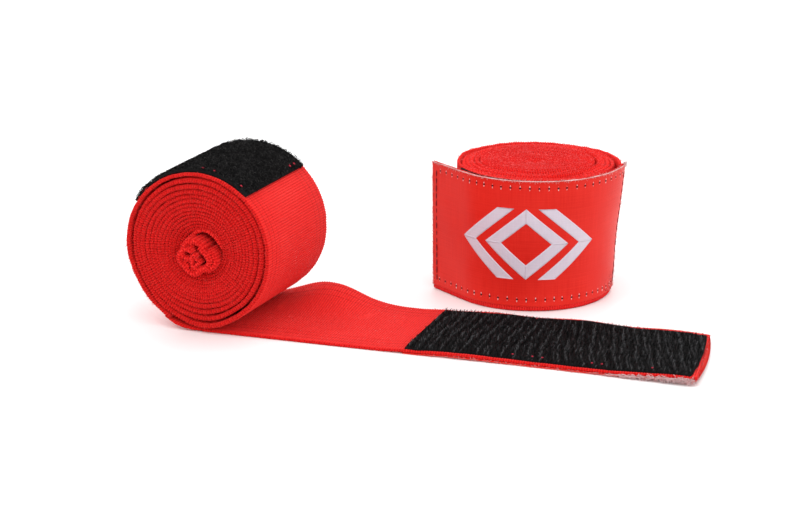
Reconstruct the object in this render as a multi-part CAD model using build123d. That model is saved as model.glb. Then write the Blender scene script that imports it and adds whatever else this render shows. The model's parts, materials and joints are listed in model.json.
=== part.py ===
from build123d import *
import math
import os

# A pair of hand wraps. The left wrap lies on its side, rolled up, with its closing tab laid out
# flat towards +X. The right wrap stands on end behind it, rolled up and closed by its own tab.
# Millimetres, +Z up. The origin is on the resting surface, under the middle of the left roll.

# ---- the band and what is sewn to it ----
band_width = 50.0
band_thickness = 1.1
body_gap = 0.3  # clear space between pieces that move apart
seat_gap = 0.02  # clear space between curved faces that lie on each other

hook_length = 100.0
hook_width = 46.5
hook_thickness = 1.8
hook_corner_cut = 6.0  # the hook strip's clipped outer corner
pile_width = 48.0
pile_thickness = 2.2
pile_pressed_thickness = 1.5  # under the closed tab
label_width = 48.0
label_thickness = 0.5
label_edge_inset = 2.5  # from the label's edge to its stitch line

stitch_pitch = 3.6
stitch_length = 2.3
stitch_width = 0.5
stitch_height = 0.2
stitch_sink = 0.15  # how far threads lie below the face they are sewn through

thumb_loop_length = 12.0
thumb_loop_width = 24.0
thumb_loop_depth = 4.2
thumb_loop_proud = 1.5  # how far the loop stands out of the roll's end
tack_bar_length = 6.0
tack_bar_count = 3
tack_bar_spacing = 2.0

motif_depth = 0.15
motif_size = 32.0  # the motif's middle lozenge, point to point along the band
motif_height = 27.0
motif_line = 4.2  # width of the motif's strokes
motif_chevron_step = 11.0

# ---- the left roll ----
left_roll_radius = 29.4
left_rim_pitch = 2.1  # from turn to turn at the rim
core_pitch = 1.35  # from turn to turn next to the thumb loop
core_radius = 7.6
pile_start_angle = 48.6  # about the roll's axis, from +X towards +Z
pile_end_angle = 155.0
under_reach = 12.0  # how far the laid band runs in under the roll's middle

# ---- the left tail and tab ----
tail_turn = 4.0  # degrees the laid band points away from +X, towards +Y
tail_side_shift = 1.5
tail_start = 8.0
tail_hinge = 62.0
tail_curl_height = 7.0
tail_curl_width = 20.0
tab_length = 120.0
tab_end_skew = 7.0
hook_start = 76.0

# ---- the right roll ----
right_centre_x = 91.0
right_centre_y = 76.5
right_label_radius = 33.0  # outside of the label that closes the roll
right_rim_pitch = 1.9
closure_ease = 0.9  # the roll stands this much further back from the closed tab at its front
tab_root_angle = 14.0
tab_bend_end_angle = -122.0
label_middle_angle = -75.0
label_raise = 0.7  # the closed tab's label is sewn on nearer the band's top edge
tab_free_length = 21.0  # straight stretch at the tab's free end
right_pile_front_reach = 48.0  # degrees of pile patch on each side of the roll's front

half_band = band_width / 2
left_axis_height = band_thickness + body_gap + left_roll_radius
right_band_radius = right_label_radius - label_thickness
right_hook_radius = right_band_radius - band_thickness
right_tab_inner_radius = right_hook_radius - hook_thickness
right_roll_front = right_tab_inner_radius - body_gap - pile_pressed_thickness - closure_ease

roll_plane = Plane(origin=(0, half_band, left_axis_height), x_dir=(1, 0, 0), z_dir=(0, -1, 0))
right_plane = Plane(origin=(right_centre_x, right_centre_y, 0))
tail_plane = Plane(origin=(0, tail_side_shift, 0)).rotated((0, 0, tail_turn))

os.makedirs("parts", exist_ok=True)


def polar(radius, angle, centre=(0.0, 0.0)):
    """The point at radius and angle, in degrees, about centre."""
    turn = math.radians(angle)
    return (centre[0] + radius * math.cos(turn), centre[1] + radius * math.sin(turn))


def solid_on(plane, edges, height, base=0.0):
    """The closed outline of edges, drawn on plane, made into a solid from base up to base + height."""
    raised = plane.offset(base)
    return raised * extrude(make_face(edges), amount=height, dir=(0, 0, 1))


def outline(points):
    """Straight edges through points and back to the first."""
    return [Line(a, b) for a, b in zip(points, points[1:] + points[:1])]


def ring_piece(inner, outer, start, sweep, centre=(0.0, 0.0)):
    """Edges of a stretch of ring between two radii, from angle start over sweep degrees."""
    end = start + sweep
    return [
        CenterArc(centre, outer, start, sweep),
        Line(polar(outer, end, centre), polar(inner, end, centre)),
        CenterArc(centre, inner, start, sweep),
        Line(polar(inner, start, centre), polar(outer, start, centre)),
    ]


def coil_radii(first, rim_pitch):
    """Outer radii at each half turn, closing up from the rim's pitch to the core's."""
    radii = []
    radius = first
    while radius > core_radius + core_pitch:
        radii.append(radius)
        share = (radius - core_radius) / (first - core_radius)
        radius -= (core_pitch + (rim_pitch - core_pitch) * share) / 2
    return radii


def coil_arcs(radii, axis_angle, way):
    """Centre, radius, start angle and sweep of the half-turn arcs whose ends lie at radii."""
    arcs = []
    for count, (near, far) in enumerate(zip(radii, radii[1:])):
        angle = axis_angle + 180 * count
        arcs.append((polar((near - far) / 2, angle), (near + far) / 2, angle, way * 180))
    return arcs


def coil_edges(arcs, trim):
    """The outline of a band wound along arcs, band_thickness thick, with trim degrees off its start."""
    centre, radius, angle, sweep = arcs[0]
    way = math.copysign(1, sweep)
    arcs = [(centre, radius, angle + way * trim, sweep - way * trim)] + arcs[1:]
    edges = []
    for centre, radius, angle, sweep in arcs:
        edges.append(CenterArc(centre, radius, angle, sweep))
        edges.append(CenterArc(centre, radius - band_thickness, angle, sweep))
    for centre, radius, angle in (
        (arcs[0][0], arcs[0][1], arcs[0][2]),
        (arcs[-1][0], arcs[-1][1], arcs[-1][2] + arcs[-1][3]),
    ):
        edges.append(Line(polar(radius, angle, centre), polar(radius - band_thickness, angle, centre)))
    return edges


def stitch_places(span):
    """Middles of the stitches along a line of length span, centred on 0."""
    count = int((span - stitch_length) // stitch_pitch)
    return [(number - count / 2) * stitch_pitch for number in range(count + 1)]


def motif_faces(middle):
    """A plain lozenge frame with a chevron on each side, centred on middle, flat in its own plane."""
    half_size = motif_size / 2
    half_height = motif_height / 2
    slope = math.hypot(half_size, half_height) / half_height
    hole_size = half_size - motif_line * slope
    hole_height = hole_size * half_height / half_size
    frame = make_face(outline(lozenge(half_size, half_height)))
    frame -= make_face(outline(lozenge(hole_size, hole_height)))
    faces = [frame]
    stroke = motif_line * slope
    for side in (-1, 1):
        tip = half_size + motif_chevron_step
        chevron = [
            (side * tip, 0),
            (side * (tip - half_size), half_height),
            (side * (tip - half_size - stroke), half_height),
            (side * (tip - stroke), 0),
            (side * (tip - half_size - stroke), -half_height),
            (side * (tip - half_size), -half_height),
        ]
        faces.append(make_face(outline(chevron)))
    return [Pos(middle[0], middle[1]) * face for face in faces]


def lozenge(half_size, half_height):
    """The four corners of a lozenge about 0."""
    return [(half_size, 0), (0, half_height), (-half_size, 0), (0, -half_height)]


def flat_stitches(length, width, middle, base):
    """Thread segments round a rectangle of length by width centred on middle, on the laid band."""
    pieces = []
    for place in stitch_places(length):
        for side in (-1, 1):
            spot = Pos(middle + place, side * width / 2, base + stitch_height / 2)
            pieces.append(spot * Box(stitch_length, stitch_width, stitch_height))
    for place in stitch_places(width - 2 * stitch_pitch):
        for side in (-1, 1):
            spot = Pos(middle + side * length / 2, place, base + stitch_height / 2)
            pieces.append(spot * Box(stitch_width, stitch_length, stitch_height))
    return Compound([tail_plane * piece for piece in pieces])


def thread_groove(length, width, middle, base, depth):
    """The groove that sewing pulls into the tape, round a rectangle, for threads that lie below its face."""
    outer = Box(length + 2 * stitch_width, width + 2 * stitch_width, depth)
    inner = Box(length - 2 * stitch_width, width - 2 * stitch_width, depth)
    return tail_plane * (Pos(middle, 0, base + depth / 2) * (outer - inner))


def thumb_loop(plane, centre, proud_end):
    """The flattened loop of tape folded into the roll's middle, and its bar tacks."""
    half_depth = thumb_loop_depth / 2
    reach = thumb_loop_length / 2 - half_depth
    slot_depth = half_depth - band_thickness
    tape = Pos(*centre) * (
        SlotCenterToCenter(2 * reach, thumb_loop_depth) - SlotCenterToCenter(2 * reach, 2 * slot_depth)
    )
    loop = plane.offset(proud_end) * extrude(tape, amount=thumb_loop_width, dir=(0, 0, -1))
    bars = []
    for number in range(tack_bar_count):
        depth = proud_end - thumb_loop_width / 2 + (number - 1) * tack_bar_spacing
        bar = Pos(centre[0], centre[1] + half_depth + stitch_height / 2, depth)
        bars.append(plane * (bar * Box(tack_bar_length, stitch_height, stitch_width)))
    return loop, Compound(bars)


def left_roll():
    """The rolled length of the left wrap, with its thumb loop, pile patch and stitching."""
    arcs = coil_arcs(coil_radii(left_roll_radius, left_rim_pitch), -90, -1)
    lift_off = math.degrees(math.asin(under_reach / left_roll_radius))
    export_step(solid_on(roll_plane, coil_edges(arcs, lift_off), band_width), "parts/left_roll_band.step")
    loop, bars = thumb_loop(roll_plane, (0, 0), band_width + thumb_loop_proud)
    export_step(loop, "parts/left_thumb_loop.step")
    export_step(bars, "parts/left_thumb_loop_tack.step")
    centre, radius, angle, sweep = arcs[0]
    inner = radius + seat_gap
    outer = inner + pile_thickness
    patch_base = (band_width - pile_width) / 2
    # The patch starts on the second arc, right of the top, and ends on the first, left of it.
    top_centre, top_radius = arcs[1][0], arcs[1][1]
    # Where the two arcs meet, at the top, both give the same height above the roll's axis.
    edges = []
    for level in (seat_gap, seat_gap + pile_thickness):
        edges.append(CenterArc(top_centre, top_radius + level, pile_start_angle, 90 - pile_start_angle))
        edges.append(CenterArc(centre, radius + level, 90, pile_end_angle - 90))
    edges.append(
        Line(polar(top_radius + seat_gap, pile_start_angle, top_centre),
             polar(top_radius + seat_gap + pile_thickness, pile_start_angle, top_centre))
    )
    edges.append(
        Line(polar(inner, pile_end_angle, centre), polar(outer, pile_end_angle, centre))
    )
    export_step(solid_on(roll_plane, edges, pile_width, patch_base), "parts/left_pile_patch.step")
    # Two rows of stitches along the patch, lying on its pile.
    pieces = []
    span = math.radians(pile_end_angle - 90) * outer
    top_outer = top_radius + seat_gap + pile_thickness
    top_span = math.radians(90 - pile_start_angle) * top_outer
    turn = math.degrees(stitch_length / outer)
    for middle, reach, rim, low in (
        (centre, span, outer, 90),
        (top_centre, top_span, top_outer, pile_start_angle),
    ):
        for place in stitch_places(reach):
            start = low + math.degrees((place + reach / 2) / rim) - turn / 2
            for side in (-1, 1):
                base = half_band + side * (pile_width / 2 - label_edge_inset) - stitch_width / 2
                ring = ring_piece(rim + seat_gap, rim + seat_gap + stitch_height, start, turn, middle)
                pieces.append(solid_on(roll_plane, ring, stitch_width, base))
    export_step(Compound(pieces), "parts/left_pile_stitching.step")


def left_laid_band():
    """The stretch under the roll and the tail, which curls up along its far edge near the roll."""
    near_end = tail_plane.from_local_coords((tail_start - body_gap, -half_band))
    far_end = tail_plane.from_local_coords((tail_start - body_gap, half_band))
    under = outline([(-under_reach, -half_band), (near_end.X, near_end.Y),
                     (far_end.X, far_end.Y), (-under_reach, half_band)])
    export_step(solid_on(Plane.XY, under, band_thickness), "parts/left_under_band.step")
    stations = ((0.0, 0.3), (0.4, 1.0), (0.75, 0.4), (1.0, 0.0))
    run = tail_hinge - body_gap - tail_start
    sections = []
    for share, lift in stations:
        height = lift * tail_curl_height
        bend = half_band - tail_curl_width
        profile = [
            (-half_band, 0), (bend, 0), (half_band, height),
            (half_band, height + band_thickness), (bend, band_thickness), (-half_band, band_thickness),
        ]
        spot = Plane(origin=(tail_start + share * run, 0, 0), x_dir=(0, 1, 0), z_dir=(1, 0, 0))
        sections.append(spot * make_face(outline(profile)))
    export_step(tail_plane * loft(sections, ruled=True), "parts/left_tail_band.step")


def left_tab():
    """The laid-out closing tab: label underneath, band, and the hook strip on top."""
    start = tail_hinge + body_gap
    end = tail_hinge + tab_length
    band = outline([(start, -half_band), (end, -half_band), (end - tab_end_skew, half_band), (start, half_band)])
    export_step(solid_on(tail_plane, band, band_thickness, label_thickness), "parts/left_tab_band.step")
    half_hook = hook_width / 2
    hook_end = hook_start + hook_length
    hook = outline([
        (hook_start, -half_hook), (hook_end, -half_hook), (hook_end, half_hook - hook_corner_cut),
        (hook_end - hook_corner_cut, half_hook), (hook_start, half_hook),
    ])
    hook_base = label_thickness + band_thickness
    hook_top = hook_base + hook_thickness
    middle = hook_start + hook_length / 2
    groove_depth = stitch_height + stitch_sink
    line_length = hook_length - 2 * label_edge_inset - hook_corner_cut
    line_width = hook_width - 2 * label_edge_inset
    line_middle = middle - hook_corner_cut / 2
    groove = thread_groove(line_length, line_width, line_middle, hook_top - groove_depth, groove_depth)
    export_step(solid_on(tail_plane, hook, hook_thickness, hook_base) - groove, "parts/left_hook_strip.step")
    hook_threads = flat_stitches(line_length, line_width, line_middle, hook_top - groove_depth)
    export_step(hook_threads, "parts/left_hook_stitching.step")

    half_label = label_width / 2
    skew = hook_corner_cut
    label = outline([
        (hook_start, -half_label), (hook_end, -half_label),
        (hook_end - skew, half_label), (hook_start, half_label),
    ])
    label_solid = solid_on(tail_plane, label, label_thickness)
    thread_length = hook_length - 2 * label_edge_inset - 2 * skew
    thread_width = label_width - 2 * label_edge_inset
    thread_middle = middle - skew
    frame = thread_groove(thread_length, thread_width, thread_middle, 0, groove_depth)
    inlays = [
        tail_plane * extrude(face, amount=motif_depth, dir=(0, 0, 1))
        for face in motif_faces((thread_middle, 0))
    ]
    export_step(label_solid - frame - inlays, "parts/left_label.step")
    threads = flat_stitches(thread_length, thread_width, thread_middle, groove_depth - stitch_height)
    export_step(threads, "parts/left_label_stitching.step")
    export_step(Compound(inlays), "parts/left_label_motif.step")


def right_coil_radii():
    """The right roll's radii at back and front in turn: its outer turn wraps over the closed tab's place."""
    back = right_band_radius
    inner = coil_radii(right_roll_front, right_rim_pitch)
    # The roll inside sits back from the front by half of what the closure adds there.
    offset = (back - right_rim_pitch - right_roll_front) / 2
    radii = [back, back, right_roll_front]
    for count, radius in enumerate(inner[1:]):
        fade = (radius - core_radius) / (right_roll_front - core_radius)
        radii.append(radius + (1 if count % 2 == 0 else -1) * offset * fade + offset * fade)
    return radii


def right_roll():
    """The rolled length of the right wrap, standing on end, with its thumb loop and pile patch."""
    arcs = coil_arcs(right_coil_radii(), -90, 1)
    trim = 90 + tab_root_angle + math.degrees(body_gap / right_band_radius)
    export_step(solid_on(right_plane, coil_edges(arcs, trim), band_width), "parts/right_roll_band.step")
    last_centre = arcs[-1][0]
    loop, bars = thumb_loop(right_plane, last_centre, band_width + thumb_loop_proud)
    export_step(loop, "parts/right_thumb_loop.step")
    export_step(bars, "parts/right_thumb_loop_tack.step")

    edges = []
    for level in (seat_gap, seat_gap + pile_pressed_thickness):
        edges.append(CenterArc(arcs[1][0], arcs[1][1] + level, -90 - right_pile_front_reach, right_pile_front_reach))
        edges.append(CenterArc(arcs[2][0], arcs[2][1] + level, -90, right_pile_front_reach))
    for (centre, radius), angle in (
        (arcs[1][:2], -90 - right_pile_front_reach),
        (arcs[2][:2], -90 + right_pile_front_reach),
    ):
        low = radius + seat_gap
        edges.append(Line(polar(low, angle, centre), polar(low + pile_pressed_thickness, angle, centre)))
    base = (band_width - pile_width) / 2
    export_step(solid_on(right_plane, edges, pile_width, base), "parts/right_pile_patch.step")
    # Stitches sunk into the pressed pile's top and bottom edges.
    pieces = []
    for (centre, radius), low in ((arcs[1][:2], -90 - right_pile_front_reach), (arcs[2][:2], -90)):
        reach = math.radians(right_pile_front_reach) * radius
        turn = math.degrees(stitch_length / radius)
        for place in stitch_places(reach):
            start = low + math.degrees((place + reach / 2) / radius) - turn / 2
            ring = ring_piece(radius + seat_gap, radius + seat_gap + stitch_width, start, turn, centre)
            for level in (base - stitch_height - seat_gap, base + pile_width + seat_gap):
                pieces.append(solid_on(right_plane, ring, stitch_height, level))
    export_step(Compound(pieces), "parts/right_pile_stitching.step")


def tab_layer(inner, outer, start, end_short, height, base):
    """A layer of the closed tab: an arc about the roll, then straight on to the free end."""
    sweep = tab_bend_end_angle - start
    heading = math.radians(tab_bend_end_angle - 90)
    reach = tab_free_length - end_short
    step = (reach * math.cos(heading), reach * math.sin(heading))
    low = polar(inner, tab_bend_end_angle)
    high = polar(outer, tab_bend_end_angle)
    low_end = (low[0] + step[0], low[1] + step[1])
    high_end = (high[0] + step[0], high[1] + step[1])
    edges = [
        CenterArc((0, 0), inner, start, sweep), CenterArc((0, 0), outer, start, sweep),
        Line(polar(inner, start), polar(outer, start)),
        Line(low, low_end), Line(high, high_end), Line(low_end, high_end),
    ]
    return solid_on(right_plane, edges, height, base)


def right_tab():
    """The closing tab of the right wrap: hook strip inside, band, and the label outside."""
    start = tab_root_angle - math.degrees(body_gap / right_band_radius)
    band = tab_layer(right_hook_radius, right_band_radius, start, 0, band_width, 0)
    export_step(band, "parts/right_tab_band.step")
    hook_base = (band_width - hook_width) / 2
    hook = tab_layer(right_tab_inner_radius, right_hook_radius - seat_gap, start - 1, 1, hook_width, hook_base)
    export_step(hook, "parts/right_hook_strip.step")
    label_base = (band_width - label_width) / 2 + label_raise
    label = tab_layer(right_band_radius + seat_gap, right_label_radius, start, 0, label_width, label_base)

    shell = tab_layer(right_label_radius - motif_depth, right_label_radius, start, 0, label_width, label_base)
    out = polar(1, label_middle_angle)
    upright = Plane(
        origin=(
            right_centre_x + right_label_radius * out[0],
            right_centre_y + right_label_radius * out[1],
            half_band + label_raise,
        ),
        x_dir=(-out[1], out[0], 0),
        z_dir=(out[0], out[1], 0),
    )
    inlays = []
    for face in motif_faces((0, 0)):
        prism = upright * extrude(face, amount=right_label_radius, dir=(0, 0, -1))
        inlays.append(prism & shell)
    cut = label
    for inlay in inlays:
        cut = cut - inlay
    export_step(cut, "parts/right_label.step")
    export_step(Compound([solid for inlay in inlays for solid in inlay.solids()]), "parts/right_label_motif.step")

    # Stitches: rows along the label's long edges, and a column near its root end.
    rise = seat_gap + stitch_height
    ring_low = right_label_radius + seat_gap
    ring_high = right_label_radius + rise
    arc_span = math.radians(start - tab_bend_end_angle) * right_label_radius
    turn = math.degrees(stitch_length / right_label_radius)
    rows = (label_base + label_edge_inset, label_base + label_width - label_edge_inset)
    pieces = []
    for place in stitch_places(arc_span - 2 * label_edge_inset):
        middle = (start + tab_bend_end_angle) / 2 + math.degrees(place / right_label_radius)
        ring = ring_piece(ring_low, ring_high, middle - turn / 2, turn)
        for row in rows:
            pieces.append(solid_on(right_plane, ring, stitch_width, row - stitch_width / 2))
    column = start - math.degrees(label_edge_inset / right_label_radius)
    thread_turn = math.degrees(stitch_width / right_label_radius)
    ring = ring_piece(ring_low, ring_high, column - thread_turn / 2, thread_turn)
    for place in stitch_places(label_width - 2 * label_edge_inset - 2 * stitch_pitch):
        low = half_band + label_raise + place - stitch_length / 2
        pieces.append(solid_on(right_plane, ring, stitch_length, low))
    export_step(Compound(pieces), "parts/right_label_stitching.step")

    hook_pieces = []
    for place in stitch_places(arc_span - 2 * stitch_pitch):
        middle = (start + tab_bend_end_angle) / 2 + math.degrees(place / right_hook_radius)
        ring = ring_piece(right_hook_radius - stitch_width, right_hook_radius - seat_gap, middle - turn / 2, turn)
        for level in (hook_base - stitch_height - seat_gap, hook_base + hook_width + seat_gap):
            hook_pieces.append(solid_on(right_plane, ring, stitch_height, level))
    export_step(Compound(hook_pieces), "parts/right_hook_stitching.step")


left_roll()
left_laid_band()
left_tab()
right_roll()
right_tab()
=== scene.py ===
import json
import math

import bpy
import numpy as np
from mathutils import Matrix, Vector


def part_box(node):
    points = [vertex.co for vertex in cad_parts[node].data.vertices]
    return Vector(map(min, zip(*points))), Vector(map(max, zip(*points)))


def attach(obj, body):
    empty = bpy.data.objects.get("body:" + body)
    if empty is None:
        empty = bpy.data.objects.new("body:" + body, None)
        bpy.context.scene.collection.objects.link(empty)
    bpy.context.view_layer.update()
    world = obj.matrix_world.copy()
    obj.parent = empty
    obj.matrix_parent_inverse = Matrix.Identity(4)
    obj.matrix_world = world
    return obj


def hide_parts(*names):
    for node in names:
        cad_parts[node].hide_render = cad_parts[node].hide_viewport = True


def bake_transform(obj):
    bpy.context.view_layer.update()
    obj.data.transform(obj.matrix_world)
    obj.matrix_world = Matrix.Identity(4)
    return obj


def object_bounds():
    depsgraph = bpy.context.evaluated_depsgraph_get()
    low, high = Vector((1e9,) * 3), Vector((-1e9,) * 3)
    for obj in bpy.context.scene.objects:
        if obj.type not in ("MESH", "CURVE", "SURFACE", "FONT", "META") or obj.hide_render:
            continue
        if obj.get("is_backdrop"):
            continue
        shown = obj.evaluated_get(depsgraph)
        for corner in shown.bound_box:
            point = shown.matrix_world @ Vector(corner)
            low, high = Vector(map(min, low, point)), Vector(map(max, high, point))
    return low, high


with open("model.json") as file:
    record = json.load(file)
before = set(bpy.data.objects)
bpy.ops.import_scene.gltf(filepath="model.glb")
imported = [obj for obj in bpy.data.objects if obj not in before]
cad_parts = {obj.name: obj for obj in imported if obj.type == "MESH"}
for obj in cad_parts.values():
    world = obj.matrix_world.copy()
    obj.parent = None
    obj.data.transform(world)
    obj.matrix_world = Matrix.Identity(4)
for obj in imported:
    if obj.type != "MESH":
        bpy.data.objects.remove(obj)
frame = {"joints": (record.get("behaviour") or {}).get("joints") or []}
cad_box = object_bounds()

MM = 0.001  # one millimetre in metres; shapes are worked out in millimetres and scaled once
FULL = 2 * math.pi


# ---------------------------------------------------------------- places from the frame

def joint(name):
    """The record's entry for a joint."""
    return next(j for j in frame["joints"] if j["name"] == name)


def node_mm(name):
    """Lowest and highest corner of a CAD node, in millimetres."""
    low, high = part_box(name)
    return np.array(low) / MM, np.array(high) / MM


LEFT_AXIS = np.array(joint("left_roll_turn")["pos_m"]) / MM
LEFT_LOW, LEFT_HIGH = node_mm("left_roll_band")
BAND_WIDTH = LEFT_HIGH[1] - LEFT_LOW[1]
BAND = node_mm("left_under_band")[1][2]
BODY_GAP = 0.3
LEFT_RADIUS = LEFT_AXIS[2] - BAND - BODY_GAP

TAIL_WAY = np.array(joint("left_tail_pull")["axis"])
TAIL_ACROSS = np.array([-TAIL_WAY[1], TAIL_WAY[0], 0.0])
UP = np.array([0.0, 0.0, 1.0])
HINGE = np.array(joint("left_tab_lift")["pos_m"]) / MM
HINGE_RUN = float(HINGE @ TAIL_WAY)
TAIL_ORIGIN = HINGE - HINGE_RUN * TAIL_WAY
TAIL_ORIGIN[2] = 0.0

PEEL = np.array(joint("right_tab_peel")["pos_m"]) / MM
LABEL_RADIUS = 33.0
ROOT_ANGLE = math.radians(14.0)
RIGHT_CENTRE = PEEL - LABEL_RADIUS * np.array([math.cos(ROOT_ANGLE), math.sin(ROOT_ANGLE), 0.0])
RIGHT_CENTRE[2] = 0.0
BEND_END = math.radians(-122.0)
FREE_LENGTH = 21.0
LABEL_MIDDLE = math.radians(-75.0)
LABEL_RAISE = 1.0

RIB_PITCH = 0.95
RIB_STEPS = 4


# ---------------------------------------------------------------- meshes

def off_the_table(height, low=0.12):
    """Heights under low eased back above the table: height becomes low^2 / (2 low - height)."""
    return np.where(height < low, low * low / (2 * low - np.minimum(height, low)), height)


def mesh_piece(name, verts, quads, uv=None, ends=()):
    """A piece from points in millimetres, four-cornered faces and flat end faces.

    Nothing reaches below the table. Its signed volume is a third of the sum over faces of
    centre . area vector; where that is negative the faces are turned round, so that they point outwards.
    """
    verts = np.array(verts, float)
    verts[:, 2] = off_the_table(verts[:, 2])
    verts = verts * MM
    quads = np.asarray(quads, np.int64)
    a, b, c, d = (verts[quads[:, k]] for k in range(4))
    area = np.cross(c - a, d - b) / 2
    volume = float((area * (a + b + c + d)).sum()) / 12
    ends = [np.asarray(e, np.int64) for e in ends]
    if volume < 0:
        quads = quads[:, ::-1]
        ends = [e[::-1] for e in ends]
    mesh = bpy.data.meshes.new(name)
    loops = np.concatenate([quads.ravel(), *ends])
    counts = np.concatenate([np.full(len(quads), 4), np.array([len(e) for e in ends], np.int64)])
    starts = np.concatenate([[0], np.cumsum(counts)[:-1]])
    mesh.vertices.add(len(verts))
    mesh.vertices.foreach_set("co", verts.ravel())
    mesh.loops.add(len(loops))
    mesh.loops.foreach_set("vertex_index", loops.astype(np.int32))
    mesh.polygons.add(len(counts))
    mesh.polygons.foreach_set("loop_start", starts.astype(np.int32))
    mesh.polygons.foreach_set("use_smooth", np.ones(len(counts), bool))
    if uv is not None:
        layer = mesh.uv_layers.new(name="UVMap")
        layer.uv.foreach_set("vector", np.asarray(uv, float)[loops].ravel())
    mesh.update(calc_edges=True)
    mesh.validate()
    piece = bpy.data.objects.new(name, mesh)
    bpy.context.scene.collection.objects.link(piece)
    return piece


def grid_quads(rows, columns, closed=True, first=0):
    """Quads of a rows by columns grid of points, joined round the columns when closed."""
    i = np.arange(rows - 1)[:, None]
    j = np.arange(columns if closed else columns - 1)[None, :]
    nxt = (j + 1) % columns
    corners = (i * columns + j, i * columns + nxt, (i + 1) * columns + nxt, (i + 1) * columns + j)
    return first + np.stack([np.broadcast_to(k, (rows - 1, j.shape[1])).ravel() for k in corners], axis=1)


def section(columns, rim=3):
    """A flat band's cross-section as three arrays: share across, share of rounding out, share up.

    It runs along the top, round one edge as a half circle, back along the bottom and round the other.
    """
    flat = np.linspace(-1, 1, columns)
    turn = np.linspace(math.pi / 2, -math.pi / 2, rim + 2)[1:-1]
    across = np.concatenate([flat, np.ones(rim), flat[::-1], -np.ones(rim)])
    out = np.concatenate([np.zeros(columns), np.cos(turn), np.zeros(columns), -np.cos(turn)])
    up = np.concatenate([np.ones(columns), np.sin(turn), -np.ones(columns), -np.sin(turn)])
    return across, out, up


def smooth(low, high, x):
    """0 below low, 1 above high, and 3t^2 - 2t^3 between."""
    t = np.clip((np.asarray(x, float) - low) / (high - low), 0, 1)
    return t * t * (3 - 2 * t)


def drift(s, seed, reach, count=6):
    """A slow wander from -1 to 1 along s: a sum of sines with seeded phases, none shorter than reach."""
    draw = np.random.default_rng(seed)
    total = np.zeros_like(np.asarray(s, float))
    for number in range(count):
        wave = reach * (1 + 1.7 * number * draw.random() + number)
        total = total + np.sin(FULL * s / wave + FULL * draw.random())
    return total / math.sqrt(count) / 1.6


class Track:
    """A line in a plane that a band follows: points, outward normals and the length along it."""

    def __init__(self, points, origin, ex, ey, axis, step):
        """points are resampled every step along their length; ex, ey and axis are the plane's frame."""
        points = np.asarray(points, float)
        far = np.concatenate([[0], np.cumsum(np.linalg.norm(np.diff(points, axis=0), axis=1))])
        self.s = np.linspace(0, far[-1], max(2, int(round(far[-1] / step)) + 1))
        self.p = np.stack([np.interp(self.s, far, points[:, k]) for k in (0, 1)], axis=1)
        tangent = np.gradient(self.p, axis=0)
        tangent /= np.linalg.norm(tangent, axis=1)[:, None]
        self.t = tangent
        self.n = np.stack([tangent[:, 1], -tangent[:, 0]], axis=1)
        self.origin, self.ex, self.ey, self.axis = (np.asarray(v, float) for v in (origin, ex, ey, axis))
        self.length = far[-1]

    def world(self, plane_points):
        """Plane coordinates to the row frame."""
        return self.origin + plane_points[..., :1] * self.ex + plane_points[..., 1:] * self.ey

    def at(self, s, across=0.0, off=0.0):
        """Point, way along, way across and way out at length s, across and off the line."""
        s = np.asarray(s, float)
        p = np.stack([np.interp(s, self.s, self.p[:, k]) for k in (0, 1)], axis=-1)
        n = np.stack([np.interp(s, self.s, self.n[:, k]) for k in (0, 1)], axis=-1)
        n /= np.linalg.norm(n, axis=-1)[..., None]
        t = np.stack([-n[..., 1], n[..., 0]], axis=-1)
        normal = n[..., :1] * self.ex + n[..., 1:] * self.ey
        along = t[..., :1] * self.ex + t[..., 1:] * self.ey
        axis = np.broadcast_to(self.axis, normal.shape)
        point = self.world(p) + axis * np.asarray(across)[..., None] + normal * np.asarray(off)[..., None]
        return point, along, axis, normal


def ribbon(name, track, width, thickness, columns=24, rib=0.0, scallop=0.0, shift=0.0, lift=None,
           trim=None, first=0.0, rim=3):
    """A band laid along a track.

    Point = track + axis * (share across * (width / 2 - half thickness) + rounding + shift)
    + normal * (share up * half thickness * (1 + rib * cos(2 pi s / rib pitch)) + lift(s, across)).
    """
    s = track.s
    share, out, up = section(columns, rim)
    half = np.broadcast_to(np.asarray(thickness, float) / 2, s.shape)[:, None]
    wave = np.cos(FULL * (s + first) / RIB_PITCH)[:, None]
    thick = half * (1 + rib * wave)
    flat = np.broadcast_to(np.asarray(width, float) / 2, s.shape)[:, None] - half
    across = share * flat + out * half * (1 + scallop * wave) + np.broadcast_to(shift, s.shape)[:, None]
    height = up * thick
    if lift is not None:
        height = height + lift(s[:, None], across)
    base = track.world(track.p)
    normal = track.n[:, :1] * track.ex + track.n[:, 1:] * track.ey
    if trim is not None:
        along = track.t[:, :1] * track.ex + track.t[:, 1:] * track.ey
        base = base[:, None, :] + along[:, None, :] * trim(s[:, None], across)[..., None]
    else:
        base = base[:, None, :]
    verts = base + track.axis * across[..., None] + normal[:, None, :] * height[..., None]
    rows, cols = across.shape
    uv = np.stack([np.broadcast_to((s + first)[:, None], across.shape), share * flat + out * half], axis=-1)
    ends = (np.arange(cols), (rows - 1) * cols + np.arange(cols)[::-1])
    return mesh_piece(name, verts.reshape(-1, 3), grid_quads(rows, cols), uv.reshape(-1, 2), ends)


def tube_template(points, radius, sides=3):
    """A thin tube along a few points: rings of the given radius square to each point's way."""
    points = np.asarray(points, float)
    way = np.gradient(points, axis=0)
    way /= np.linalg.norm(way, axis=1)[:, None]
    guide = np.array([0.0, 1.0, 0.0])
    side = np.cross(way, guide)
    side /= np.linalg.norm(side, axis=1)[:, None]
    other = np.cross(way, side)
    turn = FULL * np.arange(sides) / sides
    radius = np.broadcast_to(np.asarray(radius, float), (len(points),))[:, None, None]
    rings = points[:, None, :] + radius * (
        np.cos(turn)[None, :, None] * side[:, None, :] + np.sin(turn)[None, :, None] * other[:, None, :]
    )
    verts = rings.reshape(-1, 3)
    quads = grid_quads(len(points), sides)
    return verts, quads, sides


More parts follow.
